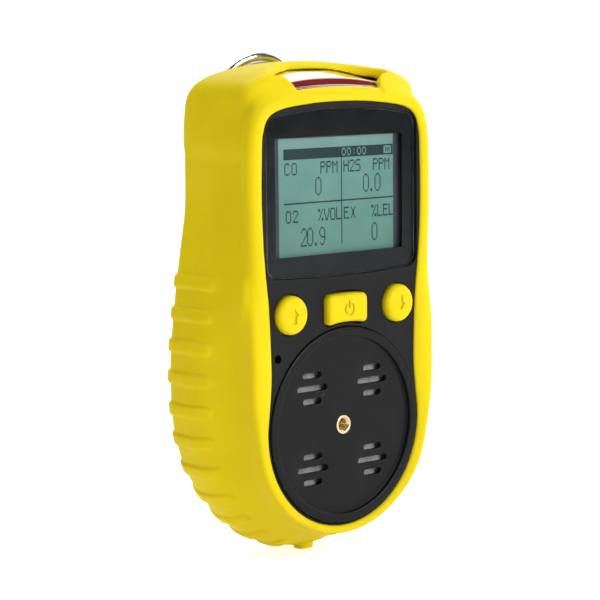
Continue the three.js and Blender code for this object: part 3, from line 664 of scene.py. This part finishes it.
def housing_skin(x, y, z, grow=0.0):
    """Outside of the black housing under the sleeve."""
    opening, body, hood = OPENING.distance(x, z), BODY.distance(x, z), HOOD.distance(x, z)
    depths = [0, 2.4, 6, 12, 18, 24, HOUSING_BACK]
    share = np.interp(y, depths, [0, 0, 0.35, 1, 1, 1, 1])
    away = np.interp(y, depths, [1.1, 1.3, -0.005, -3.4, -2.8, -3.6, -5.0])
    main = meet(opening - away - share * (opening - body), slab(y, 0, HOUSING_BACK), 0.4) - grow
    inset = np.interp(y, [3.2, 8, 24, HOUSING_BACK], [-6, -2.8, -3.4, -5.4])
    top = meet(hood - inset, slab(y, 3.2, HOUSING_BACK), 0.4) - grow
    return np.maximum(join(main, top), sleeve_skin(x, y, z) + THINNEST - grow)


def sleeve_ribs(x, y, z, skin):
    travel = BODY.round_from_bottom(x, z)
    nearest = np.clip(np.round((travel - RIB_FIRST) / RIB_PITCH), 0, RIBS - 1)
    across = travel - RIB_FIRST - nearest * RIB_PITCH
    front = 11.5 + RIB_HALF
    bar = np.hypot(across, np.maximum(front - y, 0)) - RIB_HALF
    return meet(bar, skin - RIB_PROUD, 0.45)


def slot_in_hood(x, y, z):
    """Eye-shaped cut that shows the lens, open to the front between the hood's shoulders."""
    across = np.abs(x)
    rear = 12.8 - 7.2 * np.minimum(across / 20.2, 1.25) ** 3.6 + 0.6 * np.maximum(z - 92.0, 0)
    beside = across - 0.9 * np.clip(z - 88.8, 0, 5)
    shoulder = np.interp(beside, [13.8, 14.9, 15.5, 20.2], [-4.0, 2.0, 3.9, 5.6])
    cut = meet((y - rear) * 0.8, (shoulder - y) * 0.6, 0.6)
    rim = np.hypot(OPENING.distance(x, z) - BEAD_OUT, y - BEAD_DEPTH) - BEAD_RADIUS + 0.4
    return np.maximum(np.maximum(cut, 86.3 - z), -rim)


def plug_seat(x, y, z, skin, gap=0.0):
    """Shallow seat for the port plug that follows the bottom of the sleeve."""
    around = rectangle(x, y, -4.2 - gap, 4.2 + gap, 13.2 - gap, 23.8 + gap, 0.8)
    return np.maximum(np.maximum(around, -skin - 1.05 - gap), z + 20)


def sleeve(x, y, z):
    skin = sleeve_skin(x, y, z)
    ribs = meet(sleeve_ribs(x, y, z, skin), y - BACK + 0.9, 0.8)
    whole = join(skin, ribs, 0.35)
    room = np.maximum(housing_skin(x, y, z, 0.15), 1.33 - y)
    whole = carve(whole, slot_in_hood(x, y, z), 0.9)
    whole = carve(whole, np.maximum(OPENING.distance(x, z), y - 5.0), 0.3)
    whole = carve(whole, room, 0.15)
    whole = carve(whole, lens_space(x, y, z, 0.12), 0.1)
    window = rectangle(x, z, -20, 20, 12, 82, 9)
    whole = carve(whole, np.maximum(window, 24 - y), 1.1)
    recess = plug_seat(x, y, z, skin, 0.25)
    hole = np.maximum(rectangle(x, y, -3.9, 3.9, 14.8, 21.6, 0.5), slab(z, -60, -26))
    return carve(carve(whole, recess, 0.35), hole, 0.15)


carved("sleeve", sleeve, "protective_sleeve", 0.55, "housing", LOOKS["sleeve_silicone"], 0.6)


# ---- housing ------------------------------------------------------------------------------------
def port_hole(x, y, z):
    return np.maximum(rectangle(x, y, -4.2, 4.2, 15, 22), z + 28)


def front_shell(x, y, z):
    shell = carve(housing_skin(x, y, z), housing_room(x, y, z))
    shell = np.maximum(shell, slab(y, 2.35, 15.7))
    seat = np.maximum(np.abs(x) - LENS_HALF - 0.15, 85.85 - z)
    return carve(carve(shell, seat), port_hole(x, y, z))


def rear_shell(x, y, z):
    shell = carve(meet(housing_skin(x, y, z), y - HOUSING_BACK, 1.0), housing_room(x, y, z))
    shell = np.maximum(shell, 16.3 - y)
    pillar = np.maximum(from_screw(x, z) - 3.6, slab(y, 22.6, 25.9))
    shell = join(shell, pillar)
    panel = meet(rectangle(x, z, -17.6, 17.6, 15.5, 33.0, 1.5), 26.8 - y, 0.2)
    shell = carve(shell, panel, 0.25)
    shell = carve(shell, from_screw(x, z) - 1.4)
    return carve(shell, port_hole(x, y, z))


def power_outline(grow):
    low, high = 26.4 - grow, 34.6 + grow
    half, corner = 7.0 + grow, 1.8 + grow
    right, left = half - corner, corner - half
    return (arc(right, low + corner, corner, -90, 0) + arc(right, high - corner, corner, 0, 90)
            + bow((right, high), (0, high + 0.9), (left, high))
            + arc(left, high - corner, corner, 90, 180) + arc(left, low + corner, corner, 180, 270)
            + bow((left, low), (0, low + 1.5), (right, low)))


def front_panels():
    rim = grown(OPENING.points, -0.05)
    keys = [circle(-18.8, 30.5, 5.3), circle(18.8, 30.5, 5.3), power_outline(0.25)]
    vent = circle(-23.0, 19.6, 1.1, 32)
    black = LOOKS["housing_black"]
    sheet("front_face", [rim, window_outline(-0.15), circle(0, 0, 25.98, 120), vent] + keys, 0, 1.3, 0.2,
          black, "front_housing")
    view = soft_rectangle(-23, 23, 44.3, 76.2, 0.6)
    sheet("front_ledge", [grown(OPENING.points, 0.8), view, circle(0, 0, 24.5, 120), vent] + keys, 1.36, 2.3,
          0.1, black, "front_housing")


carved("front_shell", front_shell, "front_housing", 0.9, "housing", LOOKS["housing_black"])
carved("rear_shell", rear_shell, "rear_housing", 0.7, "housing", LOOKS["housing_black"])
front_panels()


# ---- display ------------------------------------------------------------------------------------
GLYPHS = {
    "C": ".####./#....#/#...../#...../#...../#...../#....#/.####.",
    "O": ".####./#....#/#....#/#....#/#....#/#....#/#....#/.####.",
    "P": "#####./#....#/#....#/#####./#...../#...../#...../#.....",
    "M": "#....#/##..##/#.##.#/#....#/#....#/#....#/#....#/#....#",
    "H": "#....#/#....#/#....#/######/#....#/#....#/#....#/#....#",
    "2": ".####./#....#/.....#/....#./...#../..#.../.#..../######",
    "S": ".#####/#...../#...../.####./.....#/.....#/.....#/#####.",
    "%": "##...#/##..#./...#../...#../..#.../..#.../.#..##/#...##",
    "V": "#....#/#....#/#....#/#....#/.#..#./.#..#./..##../..##..",
    "L": "#...../#...../#...../#...../#...../#...../#...../######",
    "E": "######/#...../#...../#####./#...../#...../#...../######",
    "X": "#....#/.#..#./..##../..##../..##../..##../.#..#./#....#",
}
DIGITS = {
    "0": "..###../.#...#./#.....#/#.....#/#.....#/#.....#/#.....#/#.....#/#.....#/#.....#/.#...#./..###..",
    "2": "..###../.#...#./#.....#/......#/......#/.....#./....#../...#.../..#..../.#...../#....../#######",
    "9": "..###../.#...#./#.....#/#.....#/#.....#/.#....#/..#####/......#/......#/.....#./.#...#./..###..",
    ".": "......./......./......./......./......./......./......./......./......./......./..##.../..##...",
}
CLOCK = {"0": ".###./#...#/#...#/#...#/.###.", ":": "...../..#../...../..#../....."}
ROWS, COLUMNS = 64, 128
DOT_X, DOT_Z, DOT_GAP = 0.300, 0.392, 0.012
FIRST_X, FIRST_Z = -18.4, 72.4


class Screen:
    """The display's dots: a map of which are dark, turned into small flat blocks."""
    def __init__(self):
        self.dark = np.zeros((ROWS, COLUMNS), bool)

    def fill(self, column, row, columns, rows, dark=True):
        self.dark[row:row + rows, column:column + columns] = dark

    def write(self, text, font, column, row, advance, dark=True):
        for i, letter in enumerate(text):
            for r, line in enumerate(font[letter].split("/")):
                for c, dot in enumerate(line):
                    place = column + i * advance + c
                    if dot == "#" and place < COLUMNS:
                        self.dark[row + r, place] = dark

    def blocks(self, y0, y1):
        points, faces = [], []
        sides = [(0, 1, 3, 2), (4, 6, 7, 5), (0, 4, 5, 1), (2, 3, 7, 6), (0, 2, 6, 4), (1, 5, 7, 3)]
        for row in range(ROWS):
            column = 0
            while column < COLUMNS:
                if not self.dark[row, column]:
                    column += 1
                    continue
                first = column
                while column < COLUMNS and self.dark[row, column]:
                    column += 1
                x0, x1 = FIRST_X + first * DOT_X, FIRST_X + column * DOT_X - DOT_GAP
                z1 = FIRST_Z - row * DOT_Z
                z0 = z1 - DOT_Z + DOT_GAP
                base = len(points)
                points += [(x, y, z) for x in (x0, x1) for y in (y0, y1) for z in (z0, z1)]
                faces += [tuple(base + i for i in side) for side in sides]
        return points, faces


READOUT = [  # text, letters, first column, first row, columns a letter
    ("CO", GLYPHS, 1, 9, 8), ("PPM", GLYPHS, 42, 9, 7), ("0", DIGITS, 36, 19, 9),
    ("H2S", GLYPHS, 69, 9, 7), ("PPM", GLYPHS, 104, 9, 7), ("0.0", DIGITS, 92, 19, 7),
    ("O2", GLYPHS, 2, 40, 8), ("%VOL", GLYPHS, 39, 40, 7), ("20.9", DIGITS, 19, 52, 7),
    ("EX", GLYPHS, 69, 40, 8), ("%LEL", GLYPHS, 102, 40, 7), ("0", DIGITS, 102, 52, 9)]


def readout():
    """Header bar with clock and battery, two dividing lines and the four readings."""
    screen = Screen()
    screen.fill(0, 0, COLUMNS, 7)
    screen.write("00:00", CLOCK, 67, 1, 6, False)
    screen.fill(117, 1, 9, 5, False)
    for bar in (119, 121, 123):
        screen.fill(bar, 2, 1, 3)
    screen.fill(0, 35, COLUMNS, 1)
    screen.fill(66, 7, 1, ROWS - 7)
    for line in READOUT:
        screen.write(*line)
    return screen.blocks(2.40, 2.44)


def display():
    sheet("display_pane", [window_outline(0)], 0.0, 1.1, 0.22, LOOKS["clear_pane"], "display_window")
    opening = soft_rectangle(-22.4, 22.1, 45.1, 75.4, 0.4)
    sheet("display_mask", [window_outline(0.25), opening], 1.13, 1.23, 0.02, LOOKS["window_black"],
          "display_window")
    low, high = box_mm("lcd_panel")
    sheet("display_frame", [soft_rectangle(low[0], high[0], low[2], high[2], 0.5)], low[1], high[1], 0.15,
          LOOKS["lcd_frame"], "lcd_panel")
    sheet("display_field", [soft_rectangle(-20.1, 20.1, 44.8, 75.1, 0.2)], 2.44, 2.49, 0.01,
          LOOKS["display_field"], "lcd_panel")
    points, faces = readout()
    show("display_dots", points, faces, "housing", LOOKS["lcd_ink"], "lcd_panel", sharp=30)


display()


# ---- keys ---------------------------------------------------------------------------------------
def arrow(across, along):
    """A tall narrow arrow that points along its second axis."""
    head = np.maximum((np.abs(across) - 1.4 + (along + 0.1) * 0.72) * 0.81, -0.1 - along)
    shaft = np.maximum(np.abs(across) - 0.62, np.abs(along + 1.0) - 1.1)
    return np.minimum(head, shaft)


def round_key(name, node_name, points_up):
    low, high = box_mm(node_name)
    cx, cz = (low[0] + high[0]) / 2, (low[2] + high[2]) / 2
    radius, front = (high[0] - low[0]) / 2, low[1]

    def field(x, y, z):
        away = np.hypot(x - cx, z - cz)
        dome = front + 0.012 * away ** 2
        cap = meet(meet(away - radius, dome - y, 1.35), y - 2.2, 0.3)
        stem = meet(away - 2.0, slab(y, 2.0, high[1]), 0.2)
        mark = np.maximum(arrow(x - cx, points_up * (z - cz)), y - front - 0.6)
        return carve(join(cap, stem, 0.2), mark, 0.08)

    carved(name, field, node_name, 0.17, name, LOOKS["key_silicone"])


def power_key():
    low, high = box_mm("power_button")
    cz = 30.6

    def field(x, y, z):
        drop = z + (np.abs(x) / 6) ** 2 * np.where(z < cz, 0.6, 0.25) - cz
        away = rectangle(x, drop, -7.0, 7.0, -3.35, 4.1, 1.5)
        dome = low[1] + 0.003 * x ** 2 + 0.006 * (z - cz) ** 2
        cap = meet(meet(away, dome - y, 1.3), y - 2.2, 0.3)
        stem = meet(np.hypot(x, z - 30.5) - 2.0, slab(y, 2.0, high[1]), 0.2)
        ring = np.abs(np.hypot(x, z - cz) - 1.5) - 0.3
        ring = carve(ring, np.maximum(np.abs(x) - 0.75, cz - z))
        mark = join(ring, rectangle(x, z, -0.3, 0.3, cz + 0.2, cz + 2.2, 0.2))
        return carve(join(cap, stem, 0.2), np.maximum(mark, y - low[1] - 0.5), 0.06)

    carved("power_key", field, "power_button", 0.17, "power_key", LOOKS["key_silicone"])


round_key("left_key", "left_button", 1)
round_key("right_key", "right_button", -1)
power_key()


# ---- sensor cover -------------------------------------------------------------------------------
SENSOR_PLACES = [(side * 10.6, height * 10.6) for height in (1, -1) for side in (-1, 1)]
RING_RADIUS, DISH_RADIUS, DISH_FRONT, BOWL_RADIUS = 25.8, 23.4, 0.7, 61.5
SLOT_PITCH, SLOT_HALF = 3.4, 0.75
KNURLS, THREAD_PITCH = 28, 0.5


def sensor_cover(x, y, z):
    away = np.hypot(x, z)
    disc = meet(away - RING_RADIUS, slab(y, -0.4, 1.6), 0.4)
    disc = carve(disc, np.maximum(away - DISH_RADIUS, y - DISH_FRONT), 0.35)
    disc = join(disc, meet(away - 24.3, slab(y, 1.0, 2.0), 0.1))
    for cx, cz in SENSOR_PLACES:
        near = np.hypot(x - cx, z - cz)
        bowl = np.sqrt(near ** 2 + (y - DISH_FRONT - 0.4 + BOWL_RADIUS) ** 2) - BOWL_RADIUS
        disc = carve(disc, np.maximum(bowl, near - 8), 0.15)
        for row, length in ((0, 10.3), (1, 6.2), (-1, 6.2)):
            middle = cz + row * SLOT_PITCH
            slot = rectangle(x, z, cx - length / 2, cx + length / 2, middle - SLOT_HALF,
                             middle + SLOT_HALF, 0.74)
            disc = carve(disc, np.maximum(slot, y - 4), 0.22)
    disc = join(disc, meet(away - 4.0, slab(y, 1.5, 6.3), 0.2))
    return carve(disc, np.maximum(away - 2.6, y - 5.6), 0.1)


def thread(y, turn=0.0):
    """Zigzag of a screw thread along the depth, between 0 and 1."""
    return np.abs(2 * ((y / THREAD_PITCH + turn / (2 * math.pi)) % 1.0) - 1)


def threaded_insert(x, y, z):
    away, turn = np.hypot(x, z), np.arctan2(z, x)
    knurl = 2.5 - 0.1 * (0.5 + 0.5 * np.cos(KNURLS * turn)) * smoothstep(y, 0.75, 1.0)
    outside = meet(away - knurl, slab(y, 0.6, 5.4), 0.12)
    bore = np.minimum(away - 1.32 - 0.16 * thread(y, turn), (away - 1.35 - np.maximum(1.15 - y, 0)) * 0.7)
    return carve(outside, bore, 0.03)


carved("sensor_cover_disc", sensor_cover, "sensor_cover", 0.3, "housing", LOOKS["cover_black"])
carved("brass_insert", threaded_insert, "threaded_insert", 0.09, "housing", LOOKS["brass"])


# ---- alarm lens and plug ------------------------------------------------------------------------
def port_plug(x, y, z):
    skin = sleeve_main(x, y, z)
    flap = meet(plug_seat(x, y, z, skin), skin - 0.1, 0.3)
    grip = meet(rectangle(x, y, -2.6, 2.6, 14.8, 19.2, 1.9), slab(z, -35.45, -34.0), 0.35)
    flap = join(flap, grip, 0.25)
    groove = np.hypot(y - 22.8, z + 34.7) - 0.4
    flap = carve(flap, groove, 0.1)
    return join(flap, block(x, y, z, (-3.0, 16.6, -34.4), (3.0, 20.4, -31.2), 0.5), 0.2)


carved("red_lens", lens_space, "alarm_lens", 0.3, "housing", LOOKS["lens_red"])
carved("rubber_plug", port_plug, "charge_port_plug", 0.2, "port_plug", LOOKS["sleeve_silicone"], 0.4)


# ---- belt clip ----------------------------------------------------------------------------------
class Bend:
    """An open curve in y and z through the given points, for a sheet seen edge on."""
    def __init__(self, points):
        points = np.array(points, float)
        line = Outline.smooth(np.concatenate([points, points[::-1][1:-1]]), 12)[:12 * (len(points) - 1) + 1]
        self.a, self.b = line[:-1], line[1:]

    def distance(self, y, z):
        y, z = np.broadcast_arrays(y, z)
        best = np.full(y.shape, 1e9)
        for (ay, az), (by, bz) in zip(self.a, self.b):
            wide, tall = by - ay, bz - az
            share = np.clip(((y - ay) * wide + (z - az) * tall) / (wide ** 2 + tall ** 2), 0, 1)
            best = np.minimum(best, np.hypot(y - ay - share * wide, z - az - share * tall))
        return best


LEVER_BEND = Bend([(y - 0.5, z) for y, z in [
    (31.2, 100.0), (32.5, 96.0), (34.0, 91.0), (34.9, 86), (35.3, 80), (35.3, 74), (34.6, 56), (34.3, 46),
    (32.4, 41.2), (29.9, 37.4)]])


def lever_front(x, z):
    jaw = rectangle(x, z, -9.8, 9.8, 36.2, 82, 1.5)
    tall = np.where(z > 86, 10.4, 6.0)
    thumb = (np.hypot(x / 13.5, (z - 86) / tall) - 1) * 10.0
    return join(jaw, thumb, 3.0)


def ear(x, y, z, side, inner, roots):
    """Round lug for the pin, with a root between two depths."""
    place = slab(side * x, inner, inner + 1.0)
    root = rectangle(y, z, *roots, PIN_Z - 4, PIN_Z + 4, 0.5)
    return meet(place, join(from_pin(y, z) - EAR_RADIUS, root, 0.5), 0.2)


def clip_lever(x, y, z):
    bend = LEVER_BEND.distance(y, z)
    front = lever_front(x, z)
    plate = meet(front, bend - SHEET / 2, 0.3)
    roll = np.hypot(front + 1.15, bend) - 1.15
    plate = join(plate, np.maximum(roll, 82.5 - z), 0.5)
    for side in (-1, 1):
        plate = join(plate, ear(x, y, z, side, 8.8, (29.9, 35.0)), 0.3)
    return carve(plate, from_pin(y, z) - PIN_HOLE, 0.1)


def clip_base(x, y, z):
    plate = meet(rectangle(x, z, -12.2, 12.2, 36, 78, 2), slab(y, 27.35, 27.35 + SHEET), 0.3)
    for side in (-1, 1):
        plate = join(plate, ear(x, y, z, side, 11.2, (27.35, 32.0)), 0.3)
    plate = carve(plate, from_pin(y, z) - PIN_HOLE, 0.1)
    return carve(plate, from_screw(x, z) - 1.7, 0.1)


def clip_pin(x, y, z):
    away = from_pin(y, z)
    heads = meet(away - 2.0, slab(np.abs(x), 12.4, 13.6), 0.45)
    return join(meet(away - 1.25, np.abs(x) - 12.9, 0.1), heads, 0.1)


def clip_screw(x, y, z):
    away = from_screw(x, z)
    head = meet(away - 2.8, y - 29.9 + 0.07 * away ** 2, 0.3)
    head = meet(head, 28.45 - y, 0.1)
    shank = np.maximum(away - 1.2 + 0.12 * thread(y), slab(y, 24.2, 28.6))
    cross = np.minimum(np.maximum(np.abs(x) - 0.42, np.abs(z - SCREW_Z) - 1.6),
                       np.maximum(np.abs(z - SCREW_Z) - 0.42, np.abs(x) - 1.6))
    return carve(join(head, shank), np.maximum(cross, 29.0 + 0.35 * away - y), 0.08)


def clip_spring():
    """Torsion spring: legs along the plate and the lever, joined by turns round the pin."""
    turns, radius, leg = 4.5, 1.95, 9.0
    steps = int(40 * turns)
    line = [(-4.5, PIN_Y - radius, PIN_Z + leg)]
    for i in range(steps + 1):
        share = i / steps
        turn = 2 * math.pi * turns * share
        line.append((-4.5 + 9 * share, PIN_Y - radius * math.cos(turn), PIN_Z - radius * math.sin(turn)))
    line.append((4.5, PIN_Y + radius, PIN_Z + leg))
    curve = bpy.data.curves.new("spring_line", "CURVE")
    curve.dimensions = "3D"
    curve.bevel_depth = 0.42 * MM
    curve.bevel_resolution = 3
    curve.use_fill_caps = True
    spline = curve.splines.new("POLY")
    spline.points.add(len(line) - 1)
    for point, place in zip(spline.points, line):
        point.co = (*((np.array(place) - ORIGIN) * MM), 1)
    mesh = mesh_of(curve, "coil_spring")
    weld(mesh)
    dress("coil_spring", mesh, "housing", LOOKS["steel"], "clip_spring", sharp=40)


def belt_clip():
    for name, field, node_name, body, cell in [
        ("belt_lever", clip_lever, "clip_lever", "clip_jaw", 0.32),
        ("belt_plate", clip_base, "clip_base", "housing", 0.3),
        ("hinge_pin", clip_pin, "clip_pin", "housing", 0.2),
        ("plate_screw", clip_screw, "clip_screw", "housing", 0.14),
    ]:
        carved(name, field, node_name, cell, body, LOOKS["polished_steel"])
    clip_spring()


belt_clip()

# ---- pieces that keep their CAD shape ------------------------------------------------------------
for subpart in frame["record"]["subparts"]:
    piece = frame["nodes"][subpart["node"]]
    if not piece.hide_render:
        piece.data.materials.clear()
        piece.data.materials.append(LOOKS[subpart["material_slot"]])
        piece.data.set_sharp_from_angle(angle=math.radians(30))


# ---- studio -------------------------------------------------------------------------------------
def backdrop():
    """Pale floor that curves up into a wall."""
    floor, bend = CAD_LOW.z - 0.0005, 0.6
    profile = [(-2.0, floor), (0.8, floor)]
    for turn in np.linspace(0, math.pi / 2, 17)[1:]:
        profile.append((0.8 + bend * math.sin(turn), floor + bend - bend * math.cos(turn)))
    profile.append((0.8 + bend, 2.6))
    turn = Matrix.Rotation(math.radians(-41.7), 3, "Z")
    points, faces = [], []
    for u, height in profile:
        for side in (-0.8, 3.0):  # it stops on the left, so polished parts reflect the dark room there
            place = turn @ Vector((side, u, 0))
            points.append((place.x, place.y, height))
    for i in range(len(profile) - 1):
        faces.append((2 * i, 2 * i + 1, 2 * i + 3, 2 * i + 2))
    mesh = bpy.data.meshes.new("backdrop")
    mesh.from_pydata(points, [], faces)
    mesh.shade_smooth()
    tree, where = begin("backdrop_paper", "none")
    clouds = ramp(tree, noise(tree, where, 60.0), 0.3, 0.7)
    paper = mixed(tree, clouds, (0.86, 0.86, 0.86, 1), (0.9, 0.9, 0.9, 1))
    path = node(tree, "ShaderNodeLightPath").outputs
    low_down = ramp(tree, axis_of(tree, where, "Z"), 0.1, 0.4, 1.0, 0.0)
    mirrored = maths(tree, "MULTIPLY", path["Is Glossy Ray"], low_down)
    dim = maths(tree, "MAXIMUM", path["Is Diffuse Ray"], mirrored)
    glow = ramp(tree, dim, 0, 1, 0.75, 0.2)  # overexposed to the eye without flooding the object
    end(tree, principled(tree, paper, 0.9, {"Emission Color": paper, "Emission Strength": glow}))
    mesh.materials.append(LOOKS["backdrop_paper"])
    added("backdrop", mesh)


def soft_light(name, place, target, size, power):
    light = bpy.data.lights.new(name, "AREA")
    light.shape = "RECTANGLE"
    light.size, light.size_y = size
    light.energy = power
    lamp = added(name, light)
    lamp.location = place
    lamp.rotation_euler = (Vector(target) - Vector(place)).to_track_quat("-Z", "Y").to_euler()


def camera():
    place, target = Vector((-0.38268, -0.44209, 0.10007)), Vector((-0.01543, -0.030, 0.03413))
    roll = math.radians(-0.582)
    ahead = (target - place).normalized()
    right = ahead.cross(Vector((0, 0, 1))).normalized()
    up = right.cross(ahead)
    turned_right = math.cos(roll) * right + math.sin(roll) * up
    turned_up = -math.sin(roll) * right + math.cos(roll) * up
    data = bpy.data.cameras.new("camera")
    data.lens, data.sensor_width = 131.05, 36.0
    data.clip_start = 0.01
    eye = added("camera", data)
    axes = Matrix((turned_right, turned_up, -ahead)).transposed().to_4x4()
    eye.matrix_world = Matrix.Translation(place) @ axes
    bpy.context.scene.camera = eye


def studio():
    backdrop()
    centre = (CAD_LOW + CAD_HIGH) / 2
    soft_light("left", (-0.95, -0.05, 0.7), centre, (0.5, 0.7), 3.0)
    soft_light("front", (0.3, -1.0, 0.4), centre, (0.6, 0.5), 8.8)
    soft_light("right", (0.95, -0.1, 0.45), centre, (0.3, 0.7), 2.4)
    soft_light("top", (0.05, 0.35, 0.9), centre, (0.7, 0.5), 5.0)
    world = bpy.data.worlds.new("studio")
    world.use_nodes = True
    tree = world.node_tree
    seen = node(tree, "ShaderNodeLightPath").outputs["Is Camera Ray"]
    background = tree.nodes["Background"]
    background.inputs["Color"].default_value = (1, 1, 1, 1)
    tree.links.new(ramp(tree, seen, 0, 1, 0.13, 1.0), background.inputs["Strength"])
    bpy.context.scene.world = world
    bpy.context.scene.view_settings.view_transform = "Standard"


studio()
camera()
